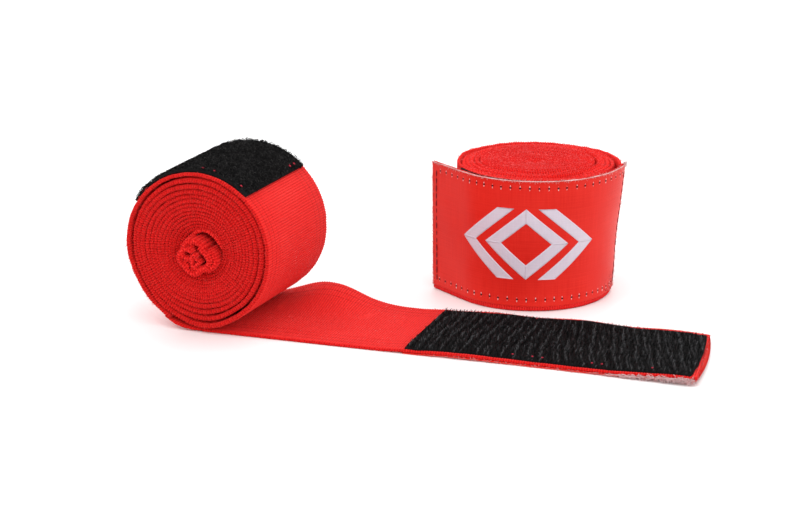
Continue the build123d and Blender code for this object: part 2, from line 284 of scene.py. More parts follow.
def blob(length, width, height, rings=5, sides=6):
    """A small grain: an ellipsoid as rings along x, its ends closed by small faces."""
    turn = np.linspace(0.12 * math.pi, 0.88 * math.pi, rings)
    round_way = FULL * np.arange(sides) / sides
    x = -np.cos(turn)[:, None] * np.ones(sides) * length / 2
    y = np.sin(turn)[:, None] * np.cos(round_way)[None] * width / 2
    z = np.sin(turn)[:, None] * np.sin(round_way)[None] * height / 2
    verts = np.stack([x, y, z], axis=-1).reshape(-1, 3)
    return verts, grid_quads(rings, sides), sides


def scatter(name, template, frames, size=1.0, tint=None):
    """Copies of a small template at each frame's point, its x, y and z laid along, across and out.

    The map's first value is each copy's tint, from 0 to 1, and the second is the height up it.
    """
    verts, quads, sides = template
    point, along, across, out = frames
    size = np.broadcast_to(np.asarray(size, float), (len(point),))[:, None, None]
    local = verts[None, :, :] * size
    placed = (
        point[:, None, :]
        + local[..., :1] * along[:, None, :]
        + local[..., 1:2] * across[:, None, :]
        + local[..., 2:] * out[:, None, :]
    )
    count = len(verts)
    offsets = (np.arange(len(point)) * count)[:, None, None]
    faces = (quads[None] + offsets).reshape(-1, 4)
    first_ring = np.arange(sides)
    last_ring = count - 1 - first_ring
    lids = (np.stack([first_ring, last_ring]) + offsets).reshape(-1, sides)
    if tint is None:
        tint = np.random.default_rng(len(point)).random(len(point))
    ident = np.repeat(tint, count)
    uv = np.stack([ident, np.tile(verts[:, 2] / max(1e-9, np.abs(verts[:, 2]).max()), len(point))], axis=1)
    return mesh_piece(name, placed.reshape(-1, 3), faces, uv, lids)


def turned(frames, angle, tip):
    """Frames (point, along, across, out) turned by angle about out, then leaning by tip towards along."""
    point, along, across, out = frames
    c, s = np.cos(angle)[:, None], np.sin(angle)[:, None]
    a = along * c + across * s
    b = across * c - along * s
    ct, st = np.cos(tip)[:, None], np.sin(tip)[:, None]
    return point, a * ct - out * st, b, out * ct + a * st


# ---------------------------------------------------------------- shader maths

class Val:
    """A number socket that adds Math nodes for the operators used on it."""

    def __init__(self, shader, socket):
        self.shader, self.socket = shader, socket

    def math(self, operation, other=None):
        values = [self] if other is None else [self, other]
        node = self.shader.node("ShaderNodeMath", {"operation": operation}, values)
        return Val(self.shader, node.outputs[0])

    def __add__(self, other):
        return self.math("ADD", other)

    def __mul__(self, other):
        return self.math("MULTIPLY", other)

    def __sub__(self, other):
        return self.math("SUBTRACT", other)

    def __rsub__(self, other):
        return (self * -1.0) + other

    def __truediv__(self, other):
        return self.math("DIVIDE", other)

    __radd__ = __add__
    __rmul__ = __mul__

    def cos(self):
        return self.math("COSINE")

    def abs(self):
        return self.math("ABSOLUTE")

    def floor(self):
        return self.math("FLOOR")

    def clamp(self):
        return self.math("MINIMUM", 1.0).math("MAXIMUM", 0.0)

    def above(self, low, high):
        """0 below low, 1 above high, straight between."""
        return ((self - low) / (high - low)).clamp()


class Shader:
    """A material on a Principled shader, with one method that adds any node."""

    def __init__(self, name, **constants):
        self.material = bpy.data.materials.new(name)
        self.material.use_nodes = True
        self.tree = self.material.node_tree
        self.tree.nodes.clear()
        self.out = self.tree.nodes.new("ShaderNodeOutputMaterial")
        self.body = self.tree.nodes.new("ShaderNodeBsdfPrincipled")
        self.tree.links.new(self.body.outputs[0], self.out.inputs[0])
        for key, value in constants.items():
            self.body.inputs[key.replace("_", " ")].default_value = value

    def node(self, kind, settings=None, values=(), named=None):
        made = self.tree.nodes.new(kind)
        for key, value in (settings or {}).items():
            setattr(made, key, value)
        pairs = [(made.inputs[i], v) for i, v in enumerate(values) if v is not None]
        pairs += [(made.inputs[k], v) for k, v in (named or {}).items()]
        for socket, value in pairs:
            if isinstance(value, Val):
                self.tree.links.new(value.socket, socket)
            elif isinstance(value, bpy.types.NodeSocket):
                self.tree.links.new(value, socket)
            else:
                socket.default_value = value
        return made

    def uv(self):
        """The piece's own map as two values: length along and place across, in millimetres."""
        split = self.node("ShaderNodeSeparateXYZ", values=[self.node("ShaderNodeUVMap").outputs[0]])
        return Val(self, split.outputs[0]), Val(self, split.outputs[1])

    def place(self):
        return self.node("ShaderNodeTexCoord").outputs["Object"]

    def noise(self, scale, detail=2.0, vector=None, roughness=0.5):
        made = self.node("ShaderNodeTexNoise", named={
            "Vector": vector or self.place(), "Scale": scale, "Detail": detail, "Roughness": roughness})
        return Val(self, made.outputs[0])

    def vector(self, x, y, z=0.0):
        return self.node("ShaderNodeCombineXYZ", values=[x, y, z]).outputs[0]

    def mix(self, factor, first, second):
        """Colour first where factor is 0 and second where it is 1."""
        made = self.node("ShaderNodeMix", {"data_type": "RGBA"})
        for index, value in ((0, factor), (6, first), (7, second)):
            if isinstance(value, Val):
                self.tree.links.new(value.socket, made.inputs[index])
            elif isinstance(value, bpy.types.NodeSocket):
                self.tree.links.new(value, made.inputs[index])
            elif index == 0:
                made.inputs[0].default_value = value
            else:
                made.inputs[index].default_value = (*value, 1.0)
        return made.outputs[2]

    def finish(self, color, roughness=None, height=None, depth=0.2):
        """Colour and roughness into the shader, and height, in millimetres of depth, as its bump."""
        self.tree.links.new(color, self.body.inputs["Base Color"])
        if roughness is not None:
            self.tree.links.new(roughness.socket, self.body.inputs["Roughness"])
        if height is not None:
            named = {"Height": height, "Distance": depth * MM, "Strength": 1.0}
            bump = self.node("ShaderNodeBump", named=named)
            self.tree.links.new(bump.outputs[0], self.body.inputs["Normal"])
        return self.material


def band_cloth(name, highlight, middle, dark):
    """Ribbed woven band: ribs across it, columns of knots along it, and fine fibre noise; its colour has
    painted shade in the rib and knot grooves and painted highlight on their crests.
    """
    m = Shader(name, Roughness=0.8, Specular_IOR_Level=0.12, Sheen_Weight=0.03)
    u, v = m.uv()
    rib = (u * (FULL / RIB_PITCH)).cos() * 0.5 + 0.5
    parity = ((u / (2 * RIB_PITCH)).floor() * 2.0 - (u / RIB_PITCH).floor()).abs()
    knot_pitch = 0.62
    knot = (v * (FULL / knot_pitch) + parity * math.pi).cos() * 0.5 + 0.5
    fibre = m.noise(1400.0, 3.0)
    patch = m.noise(55.0, 2.0)
    edge = v.abs().above(BAND_WIDTH / 2 - 10.5, BAND_WIDTH / 2 - 9.0)
    line_place = (v * (FULL / 3.1)).cos().above(0.8, 1.0) * edge
    # painted shade and painted highlight: the rib and knot waves darken the grooves and light the crests; the
    # fibre noise and the dotted edge lines are the yarn's own tone
    lit = (rib * 0.36 + knot * 0.3 + fibre * 0.6 - line_place * 0.3).clamp()
    color = m.mix(lit.above(0.15, 0.75), dark, middle)
    # painted highlight: the brightest red on the crests, shown only inside slow noise patches
    color = m.mix(lit.above(0.6, 1.05) * patch.above(0.2, 0.7), color, highlight)
    height = rib * 0.35 + knot * 0.35 + fibre * 0.5 - line_place * 0.3
    return m.finish(color, None, height, 0.22)


def fuzz(name, dark, light, roughness=0.9, specular=0.1):
    """Black tape's ground: near black with greyer grains and patches."""
    m = Shader(name, Roughness=roughness, Specular_IOR_Level=specular)
    grain = m.noise(900.0, 3.0)
    cloud = m.noise(160.0, 2.0)
    lit = grain.above(0.35, 0.75) * 0.6 + cloud.above(0.3, 0.7) * 0.4
    return m.finish(m.mix(lit, dark, light), None, grain, 0.25)


def strands(name, dark, light, low, high, roughness=0.6, specular=0.2):
    """Single hooks, loops or loose fibres: each takes its own tone from its tint, and painted shade darkens
    it down towards its root.
    """
    m = Shader(name, Roughness=roughness, Specular_IOR_Level=specular)
    tint, height = m.uv()
    # painted shade: the light colour's share fades to half from each copy's tip down to its root
    lit = tint.above(low, high) * (height * 0.5 + 0.5)
    return m.finish(m.mix(lit.clamp(), dark, light))


def plain_thread(name, color, light, roughness=0.6):
    """Sewing thread: twist lines along it, and small changes of shade."""
    m = Shader(name, Roughness=roughness, Specular_IOR_Level=0.2)
    twist = m.noise(2500.0, 2.0)
    return m.finish(m.mix(twist.above(0.3, 0.7), color, light), None, twist, 0.1)


def satin(name, base, light, roughness=0.42):
    """Woven satin: fine level yarns, slight colour bands, and a soft sheen."""
    m = Shader(name, Roughness=roughness, Specular_IOR_Level=0.13)
    u, v = m.uv()
    yarn = (v * (FULL / 0.28)).cos() * 0.5 + 0.5
    weft = m.noise(1.0, 3.0, m.vector(u * 0.05, v * 3.2))
    warp = m.noise(1.0, 3.0, m.vector(u * 2.6, v * 0.08))
    cloud = m.noise(30.0, 2.0)
    lit = weft * 0.4 + warp * 0.35 + cloud * 0.4 - 0.1
    color = m.mix(lit.above(0.3, 0.75), base, light)
    return m.finish(color, None, yarn * 0.4 + weft * 0.4 + warp * 0.3, 0.06)


# band reds: the first is a painted highlight, the middle one is the band's own red, the last is a painted
# shade
RED_HIGHLIGHT, RED, RED_SHADE = (0.94, 0.050, 0.043), (0.77, 0.015, 0.012), (0.43, 0.001, 0.0015)
band_mat = band_cloth("red_band", RED_HIGHLIGHT, RED, RED_SHADE)
red_fibre_mat = strands("red_fibre", (0.66, 0.013, 0.011), (0.90, 0.07, 0.06), 0.2, 1.0, 0.8, 0.1)
pink_fibre_mat = strands("pink_fibre", (0.70, 0.03, 0.03), (0.88, 0.16, 0.16), 0.2, 1.0, 0.8, 0.1)
pile_mat = fuzz("black_pile", (0.002, 0.0018, 0.002), (0.010, 0.0095, 0.0095))
pile_loop_mat = strands("black_pile_loop", (0.003, 0.0028, 0.003), (0.045, 0.042, 0.042), 0.55, 1.0, 0.8, 0.1)
hook_mat = fuzz("black_hook_tape", (0.001, 0.001, 0.0012), (0.005, 0.005, 0.0055), 0.7, 0.06)
# the hooks' grey is a painted highlight on black hooks, shown where a hook's tint is high
hook_strand_mat = strands("black_hook", (0.0008, 0.0008, 0.001), (0.10, 0.10, 0.105), 0.5, 0.9, 0.6, 0.05)
satin_mat = satin("red_satin", (0.58, 0.008, 0.003), (0.74, 0.028, 0.017))
motif_mat = satin("pale_satin", (0.56, 0.48, 0.56), (0.66, 0.60, 0.66))
thread_mat = plain_thread("dark_red_thread", (0.10, 0.002, 0.004), (0.26, 0.006, 0.008))
red_thread_mat = plain_thread("red_thread", (0.45, 0.01, 0.03), (0.65, 0.03, 0.06))
pale_thread_mat = plain_thread("pale_thread", (0.62, 0.33, 0.33), (0.80, 0.66, 0.66))
pink_thread_mat = plain_thread("pink_thread", (0.62, 0.12, 0.11), (0.78, 0.38, 0.36))
# painted shade: near black red for the shade inside each needle hole of the label
hole_shade_mat = plain_thread("needle_hole", (0.012, 0.0, 0.0), (0.03, 0.0, 0.002))


def dress(piece, material, body=None, stands_for=()):
    """Gives a piece its material, the body it rides on and the CAD nodes that it stands for."""
    piece.data.materials.append(material)
    if body:
        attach(piece, body)
    if stands_for:
        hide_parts(*stands_for)
    return piece


PILE_WIDTH, HOOK_WIDTH, LABEL_WIDTH = 48.0, 46.5, 48.0
BAND_CLOTH = (band_mat, "band", BAND_WIDTH)
PILE_CLOTH = (pile_mat, "pile", PILE_WIDTH)
HOOK_CLOTH = (hook_mat, "hook", HOOK_WIDTH)
LABEL_CLOTH = (satin_mat, "label", LABEL_WIDTH)


def tape(name, cloth, body, stands_for, held, track, width, thickness, **shape):
    """A ribbon dressed in its cloth (material, slot, flat width), on its body, standing for its CAD nodes.
    """
    material, slot, flat_width = cloth
    piece = ribbon(name, track, width, thickness, **shape)
    dress(piece, material, body, stands_for)
    flat_width * MM
    return piece


# ---------------------------------------------------------------- left roll

def wound_track(radius, pitches, core, start, way, shape, origin, ex, ey, axis, step):
    """A spiral: turned angle = integral of 360 degrees / pitch(r) dr, from radius in to core.

    shape(r, angle, turned) gives the real radius of each point, so that the turns can bulge and gape.
    """
    r = np.linspace(radius, core, 4000)
    pitch = np.interp(r, pitches[0], pitches[1])
    slope = FULL / pitch
    gone = np.concatenate([[0], np.cumsum((slope[1:] + slope[:-1]) / 2 * -np.diff(r))])
    fine = np.linspace(0, gone[-1], 40000)
    r = np.interp(fine, gone, r)
    angle = start + way * fine
    real = shape(r, angle, fine)
    points = np.stack([real * np.cos(angle), real * np.sin(angle)], axis=1)
    track = Track(points, origin, ex, ey, axis, step)
    far = np.concatenate([[0], np.cumsum(np.linalg.norm(np.diff(points, axis=0), axis=1))])
    track.radius = np.interp(track.s, far, r)
    track.angle = np.interp(track.s, far, angle)
    track.turned = np.interp(track.s, far, fine)
    return track


def nearness(angle, middle, spread):
    """1 at the middle angle, falling to 0 by a bell curve of the given spread, both in degrees."""
    away = (np.degrees(angle) - middle + 180) % 360 - 180
    return np.exp(-(away / spread) ** 2)


def left_shape(r, angle, turned_by):
    """Turns a little wider than high, flatter low on the left, with gaps left and right."""
    depth = LEFT_RADIUS - r
    oval = 0.4 * np.cos(2 * angle) * smooth(22, 2, depth) * smooth(0.9, 6.0, depth)
    flat = -0.8 * nearness(angle, -150, 22) * smooth(14, 0, depth)
    foot = 1.15 * nearness(angle, -84, 19) * smooth(10, 1, depth)
    gape = -0.95 * nearness(angle, 180, 55) * smooth(0.9, 1.6, depth) * smooth(7.0, 3.0, depth)
    gape = gape - 0.8 * nearness(angle, -12, 48) * smooth(2.6, 3.4, depth) * smooth(9.5, 5.0, depth)
    gape = gape - 0.6 * nearness(angle, 8, 40) * smooth(5.4, 6.2, depth) * smooth(12, 8.0, depth)
    sag = -1.3 * np.sin(angle) * smooth(20, 9, r)
    return r + oval + flat + foot + gape + sag


left_lift_off = math.radians(-90) - math.asin(12.0 / LEFT_RADIUS)
left_origin = np.array([0.0, 0.0, LEFT_AXIS[2]])
EX, EY, EZ = np.eye(3)
left_track = wound_track(
    LEFT_RADIUS - BAND / 2,
    ([7, 16, 19, 22, 27.2, 28.9], [1.16, 1.2, 1.6, 1.95, 2.2, 1.45]),
    8.2, left_lift_off, -1, left_shape, left_origin, EX, EZ, EY, RIB_PITCH / RIB_STEPS,
)


def telescoped(track, depth, seed):
    """How far each turn sits in from the face: a dish towards the core, and a slow wander."""
    dish = np.interp(track.radius, *depth)
    return dish + 0.28 * drift(track.s, seed, 35.0) + 0.12 * drift(track.s, seed + 1, 9.0)


left_shift = telescoped(left_track, ([7, 9.5, 12, 16, 22, 29], [4.6, 4.0, 2.4, 1.0, 0.3, 0.0]), 3)
left_full = np.interp(left_track.radius, [7, 15, 19, 23, 27.5, 28.3], [1.16, 1.2, 1.5, 1.62, 1.65, 1.25])
tape("left_roll_turns", BAND_CLOTH, "left_roll", ("left_roll_band",), "folded",
     left_track, BAND_WIDTH, left_full, columns=5, rib=0.1, scallop=0.34,
     shift=left_shift, lift=lambda s, side: 0.10 * drift(s, 17, 1.7))


def part_track(track, low, high, off):
    """The stretch of a wound track turned between low and high degrees, moved off by off along its normal."""
    turned_by = np.degrees(track.turned)
    keep = (turned_by >= low) & (turned_by <= high)
    points = (track.p + track.n * off)[keep]
    return Track(points, track.origin, track.ex, track.ey, track.axis, 0.25)


# The roll's own band leaves it under the middle: this stretch lies on the table, hugs the roll's
# underside on the left, and lies on inside the tail so that it comes into view as the tail is pulled.
hug_angles = np.linspace(-118, -90, 40)
hug_share = 0.2 + 0.8 * smooth(-118, -106, hug_angles)
hug_radius = LEFT_RADIUS + 0.05 + BAND * hug_share / 2
lie_height = LEFT_AXIS[2] - hug_radius[-1]
hug_angles = np.radians(hug_angles)
under_points = np.concatenate([
    np.stack([hug_radius * np.cos(hug_angles), hug_radius * np.sin(hug_angles)], axis=1),
    np.stack([np.linspace(0.6, 52, 60), np.full(60, BAND / 2 - LEFT_AXIS[2])], axis=1),
])
under_points[40:, 1] += (lie_height - BAND / 2) * (1 - smooth(0, 4, under_points[40:, 0]))
under_track = Track(under_points, left_origin, EX, EZ, EY, RIB_PITCH / RIB_STEPS)


def curl(run, side):
    """Height of the laid band: its far edge arches up near the roll, with a faint ripple over it."""
    arch = np.exp(-((run - 29) / 15.5) ** 2) * smooth(1, 12, run)
    rise = 7.6 * arch * smooth(-6, 30, side) ** 1.6
    ripple = 0.22 * np.sin(run / 7.0 + side / 16.0) * smooth(8, 20, run) * smooth(70, 50, run)
    crease = 0.4 * np.exp(-((side + 14) / 3.5) ** 2) * arch
    return rise + ripple * smooth(-25, -10, side) + crease


def tab_rise(run, side):
    """The laid tab lies on its label; its far edge turns up a little, and its free end stands clear."""
    ramp = 0.5 * smooth(66, 76, run)
    end = 1.5 * smooth(150, 184, run) * (0.6 - side / 80)
    wave = 0.18 + 0.18 * np.sin(run / 11.0 + side / 30)
    lip = (0.75 + 0.35 * np.sin(run / 6.3)) * smooth(19.5, 25, side) * smooth(80, 105, run)
    return ramp + end + wave * smooth(76, 90, run) + lip


under_run = under_track.p[:, 0]
under_taper = 0.2 + 0.8 * smooth(-14.2, -8.5, under_run)
under_thick = BAND * (0.45 + 0.55 * smooth(1.0, -1.5, under_run)) * under_taper


def under_lift(s, side):
    run = np.interp(s, under_track.s, under_run)
    return -curl(run, side) * smooth(1, 6, run)


under_width = BAND_WIDTH - 2.5 * smooth(0, 10, under_run)
under_shift = (TAIL_ORIGIN[1] + np.maximum(under_run, 0) * TAIL_WAY[1]) * smooth(-10, 2, under_run)
tape("left_under_band", BAND_CLOTH, "left_under", ("left_under_band",), "laid",
     under_track, under_width, under_thick, columns=14, rib=0.12, scallop=0.2,
     shift=under_shift, lift=under_lift)

TAB_END = 182.0
laid_points = np.stack([np.linspace(-1.0, TAB_END, 400), np.full(400, BAND / 2)], axis=1)
laid_track = Track(laid_points, TAIL_ORIGIN, TAIL_WAY, UP, TAIL_ACROSS, RIB_PITCH / RIB_STEPS)


def laid_height(run, side):
    return curl(run, side) + tab_rise(run, side)


def laid_shift(run):
    """The laid band wanders a little to the far side in the middle of the tab."""
    return 1.1 * np.exp(-((run - 122) / 34) ** 2)


laid = tape(
    "left_laid_band", BAND_CLOTH, None, ("left_tail_band", "left_tab_band"), "laid",
    laid_track, BAND_WIDTH, BAND, columns=30, rib=0.14, scallop=0.3,
    shift=laid_shift(laid_track.s - 1),
    lift=lambda s, side: -laid_height(s - 1, side),
    trim=lambda s, side: -7.0 * (side + 25) / 50 * smooth(100, 180, s),
)
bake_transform(laid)

# ---------------------------------------------------------------- left closing tab

HOOK_START, HOOK_END = 76.0, 179.6
LABEL_START, LABEL_END = 75.4, 181.6
HOOK_BASE = 0.8
HOOK_SIDE = -0.9
HOOK_TOP = 0.5 + BAND + HOOK_BASE


def hook_droop(side):
    """The tape's near edge hangs a little over the band's edge."""
    return -0.45 * smooth(-20, -24.5, side)


def tab_layer(name, cloth, stands_for, low, high, width, side_shift, middle, thickness, columns, step,
              skew, waviness, seed):
    """A layer of the laid tab, its middle at height middle, following the band's own rise."""
    points = np.stack([np.linspace(low, high, 300), np.full(300, middle)], axis=1)
    track = Track(points, TAIL_ORIGIN, TAIL_WAY, UP, TAIL_ACROSS, step)
    run = low + track.s
    hook_like = 1.0 if middle > BAND else 0.0
    tape(
        name, cloth, "left_tab", stands_for, "laid",
        track, width + waviness * drift(track.s, seed, 7.0), thickness, columns=columns,
        shift=side_shift + laid_shift(run) + waviness * drift(track.s, seed + 5, 14.0),
        lift=lambda s, side: -(laid_height(low + s, side) - 0.5 + hook_like * hook_droop(side)),
        trim=lambda s, side: -skew * (side / width + 0.5) ** 2 * smooth(high - low - 40, high - low, s),
    )


tab_layer("left_hook_strip", HOOK_CLOTH, ("left_hook_strip",), HOOK_START, HOOK_END, HOOK_WIDTH, HOOK_SIDE,
          0.5 + BAND + HOOK_BASE / 2, HOOK_BASE, 40, 0.8, 5.5, 0.45, 11)
tab_layer("left_label", LABEL_CLOTH, ("left_label", "left_label_stitching"), LABEL_START, LABEL_END,
          LABEL_WIDTH + 1.6, -0.4, 0.26, 0.44, 30, 1.0, 6.5, 0.3, 21)


def laid_frames(run, side, height):
    """Points on the laid tab at height above the label's underside, with their three ways."""
    z = height + laid_height(run, side) - 0.5
    point = (TAIL_ORIGIN + run[:, None] * TAIL_WAY + (side + laid_shift(run))[:, None] * TAIL_ACROSS
             + z[:, None] * UP)
    count = (len(run), 1)
    return point, np.tile(TAIL_WAY, count), np.tile(TAIL_ACROSS, count), np.tile(UP, count)


def laid_face(height, facing=1):
    """The laid tab's face at height as a function of run and side, looking up, or down where facing is -1."""
    def face(run, side, off=0.0):
        run, side, off = np.broadcast_arrays(*(np.asarray(v, float) for v in (run, side, off)))
        point, along, across, out = laid_frames(run, side, height + facing * off)
        return point, along, across, facing * out
    return face


def glint_streaks(run, side, seed):
    """Painted highlight on the hook tape, from 0 to 1, as uneven bands across it: sines that are short along
    it and long across.
    """
    pick = np.random.default_rng(seed)
    total = np.zeros_like(run)
    for wave in (1.3, 1.9, 2.7, 4.1):
        lean = pick.uniform(-0.12, 0.12) + 0.33 * smooth(95, 150, run)
        bend = 0.9 * np.sin(side / pick.uniform(3.0, 7.0) + pick.uniform(0, FULL))
        total = total + np.sin(FULL * (run + lean * side + 0.6 * bend) / wave + pick.uniform(0, FULL))
    return np.clip(0.5 + total / 4.5, 0, 1)


# Hooks: a short stem that bends over, in rows across the tape that waver like combed hair.
hook_curve = np.array([[0, 0, 0], [0.02, 0, 0.45], [0.18, 0, 0.78], [0.46, 0, 0.86], [0.62, 0, 0.66]])
hook_shape = tube_template(hook_curve, [0.11, 0.10, 0.09, 0.085, 0.07])
draw = np.random.default_rng(5)
ROW_GAP, HOOK_GAP = 1.3, 0.62
rows = np.arange(HOOK_START + 0.4, HOOK_END - 0.3, ROW_GAP)
places = np.arange(-HOOK_WIDTH / 2 + 0.3, HOOK_WIDTH / 2 - 0.2, HOOK_GAP)
run, side = (a.ravel() for a in np.meshgrid(rows, places, indexing="ij"))
run = run + 0.7 * np.sin(side / 2.6 + 0.9 * np.sin(run / 9.0)) + 0.25 * draw.standard_normal(run.shape)
side = side + 0.15 * draw.standard_normal(side.shape)
inside = (run < HOOK_END - 0.2 - 5.5 * (side / HOOK_WIDTH + 0.5) ** 2) & (run > HOOK_START + 0.2)
run, side = run[inside], side[inside]
# painted highlight: each hook's tint follows the glint bands across the tape, with a little random tone
shade = np.clip(glint_streaks(run, side, 2) * 0.8 + 0.2 * draw.random(len(run)), 0, 1)
height = HOOK_TOP - 0.05 + hook_droop(side + HOOK_SIDE)
swing = math.pi / 2 + 0.5 * np.cos(side / 2.6) + 0.4 * draw.standard_normal(len(run))
lean = 0.25 * draw.standard_normal(len(run))
frames = turned(laid_frames(run, side + HOOK_SIDE, height), swing, lean)
far_rim = smooth(HOOK_WIDTH / 2 - 2, HOOK_WIDTH / 2, side)
size = (0.95 + 0.15 * draw.standard_normal(len(run))) * (1 - 0.35 * far_rim)
dress(scatter("left_hooks", hook_shape, frames, size, shade), hook_strand_mat, "left_tab")

# ---------------------------------------------------------------- left pile patch

PILE_LOW, PILE_HIGH = 270 - 148.0 - 24.1, 270 - 48.6 - 24.1
PILE_BASE = 1.2
pile_track = part_track(left_track, PILE_LOW, PILE_HIGH, -(BAND / 2 + PILE_BASE / 2 + 0.05))


def pile_lumps(s, side):
    """Small lumps all over the pile: a product of two wavering sines."""
    return 0.10 * np.sin(s * 3.9 + 2 * np.sin(side * 1.3)) * np.sin(side * 4.3 + np.sin(s * 2.1))


pile_widths = PILE_WIDTH + 0.3 * drift(pile_track.s, 31, 3.0)
tape("left_pile_patch", PILE_CLOTH, "left_roll", ("left_pile_patch",), "folded",
     pile_track, pile_widths, PILE_BASE, columns=60, lift=pile_lumps)

loop_turn = np.linspace(0, math.pi, 6)
loop_curve = np.stack([0.42 * np.cos(loop_turn), 0 * loop_turn, 0.62 * np.sin(loop_turn)], axis=1)
loop_shape = tube_template(loop_curve, 0.075)
loop_count = 7500
pick = np.random.default_rng(9)
s = pick.uniform(0, pile_track.length, loop_count)
side = pick.uniform(-PILE_WIDTH / 2 + 0.2, PILE_WIDTH / 2 - 0.2, loop_count)
point, along, axis_way, normal = pile_track.at(s, side, np.full(loop_count, -PILE_BASE / 2))
spin = pick.uniform(0, FULL, loop_count)
frames = turned((point, along, axis_way, -normal), spin, 0.45 * pick.standard_normal(loop_count))
size = np.clip(0.9 + 0.3 * pick.standard_normal(loop_count), 0.4, 1.6)
dress(scatter("left_pile_loops", loop_shape, frames, size), pile_loop_mat, "left_roll")

# ---------------------------------------------------------------- left roll's middle

def petal(radius, waves, centre, squeeze=1.0, start=0.0, sweep=360.0, inward=0.0):
    """A crumpled line about centre: radius * (1 - inward * share) * (1 + sum of a * cos(n * angle + b))."""
    share = np.linspace(0, 1, 500)
    angle = np.radians(start + sweep * share)
    r = radius * (1 - inward * share) * (1 + sum(a * np.cos(n * angle + b) for n, a, b in waves))
    points = np.stack([centre[0] + r * np.cos(angle), centre[1] + squeeze * r * np.sin(angle)], axis=1)
    return Track(points, left_origin, EX, EZ, EY, 0.24)


def crumple(name, line, thickness, depth, seed, length=44.0, tilt=0.0, stands_for=()):
    """A fold of band in the roll's middle, depth in from the face, its rim uneven."""
    shift = depth - (BAND_WIDTH - length) / 2 + tilt * line.p[:, 0] / 6 + 0.55 * drift(line.s, seed, 6.0)
    full = thickness * (1 + 0.16 * drift(line.s, seed + 3, 2.5))

    def sway(s, side):
        return 0.3 * drift(s, seed + 9, 3.0) + 0.5 * drift(s, seed + 11, 9.0) * side / 25

    made = ribbon(name, line, length, full, columns=5, rib=0.13, scallop=0.25, shift=shift, lift=sway, rim=5)
    dress(made, band_mat, "left_roll", stands_for)


KNOT = np.array([-1.4, -2.2])
thumb_waves = ((3, 0.08, 0.6), (5, 0.07, 1.9), (2, 0.05, 0.3))
thumb_line = petal(6.4, thumb_waves, KNOT, start=31, sweep=-338, inward=0.2)
crumple("left_thumb_loop", thumb_line, 2.3, 0.2, 41, tilt=1.3,
        stands_for=("left_thumb_loop", "left_thumb_loop_tack"))
# Each fold: its name, radius, wave, middle from the knot's, start and sweep, squeeze, tightening,
# thickness, depth and seed.
for fold, radius, wave, middle, start, sweep, squeeze, inward, thick, depth, seed in (
    ("side", 3.9, (3, 0.12, 1.0), (1.3, -0.5), -125, 205, 1.05, 0.0, 2.0, -0.1, 43),
    ("top", 2.3, (3, 0.15, 0.2), (0.3, 2.9), -30, 300, 1.0, 0.0, 1.8, 0.7, 55),
    ("upper", 2.2, (2, 0.20, 0.4), (-2.3, 0.9), 20, 335, 1.0, 0.0, 1.7, -0.5, 45),
    ("lower", 1.7, (2, 0.20, 1.4), (-2.2, -3.0), -60, 330, 1.0, 0.0, 1.6, -0.1, 47),
    ("middle", 2.3, (3, 0.22, 0.0), (0.8, -1.6), 60, 400, 1.0, 0.5, 1.5, -0.9, 49),
):
    fold_line = petal(radius, (wave,), KNOT + middle, squeeze, start, sweep, inward)
    crumple(f"left_core_{fold}_fold", fold_line, thick, depth, seed)
crumple("left_core_ring", petal(7.7, ((4, 0.03, 0.0),), (0.0, -1.25), sweep=357), 1.7, 4.8, 51, length=38.5)

# ---------------------------------------------------------------- right roll

right_origin = RIGHT_CENTRE + np.array([0, 0, BAND_WIDTH / 2])
LABEL_THICK = 0.5
tab_band_mid = LABEL_RADIUS - LABEL_THICK - BAND / 2


def lean_in(angle, side):
    """How far the roll's right side draws in towards its foot, in millimetres."""
    return 3.2 * (0.5 - side / BAND_WIDTH) * nearness(angle, 14, 62)


def right_shape(r, angle, turned_by):
    """Outer turn round; inside it the roll is oval, sits back from the tab, and gapes left and right."""
    share = smooth(math.radians(76), math.radians(228), turned_by)
    fade = (r / 30) ** 1.5
    back_seat = (-1.755 + 2.4 * np.sin(angle)) * share * fade
    across_view = np.cos(2 * (angle - math.radians(20)))
    gape = -1.5 * (0.5 + 0.5 * across_view) * smooth(24.2, 22.6, r) * (r / 22)
    oval = 0.07 * r * across_view * smooth(27, 20, r) * smooth(1, 6, r)
    swell = 0.35 * np.cos(angle - 2.6) * smooth(31, 28, r) * smooth(22, 26, r)
    return r + back_seat + gape + oval + swell


right_track = wound_track(
    tab_band_mid, ([3, 12, 18, 23, 26, 29, 33], [1.16, 1.18, 1.3, 1.9, 2.0, 1.75, 1.9]),
    1.4, ROOT_ANGLE, 1, right_shape, right_origin, EX, EY, EZ, RIB_PITCH / RIB_STEPS,
)
shift_radii, shifts = [1, 8, 20, 22, 26, 30, 31.5], [-0.5, 0.3, 0.7, 0.3, -0.4, -0.7, -0.3]
right_shift = np.interp(right_track.radius, shift_radii, shifts)
right_shift = right_shift + 0.2 * drift(right_track.s, 51, 30.0) + 0.12 * drift(right_track.s, 52, 7.0)
right_width = BAND_WIDTH - 0.6 - 1.6 * np.clip(-right_shift, 0, 1.2)
right_shift = np.maximum(right_shift, (right_width - BAND_WIDTH) / 2 + 0.1)
right_full = np.interp(right_track.radius, [3, 14, 19, 23, 29, 31], [1.15, 1.2, 1.3, 1.65, 1.6, 1.15])


def turn_lean(s, side):
    """lean_in at each point of the roll's turns, fading towards the core as the radius squared."""
    share = (np.interp(s, right_track.s, right_track.radius) / 33) ** 2
    return -lean_in(np.interp(s, right_track.s, right_track.angle), side) * share


tape("right_roll_turns", BAND_CLOTH, "right_roll",
     ("right_roll_band", "right_thumb_loop", "right_thumb_loop_tack"), "folded",
     right_track, right_width, right_full, columns=5, rib=0.1, scallop=0.34,
     shift=right_shift, lift=lambda s, side: 0.08 * drift(s, 53, 1.7) + turn_lean(s, side))

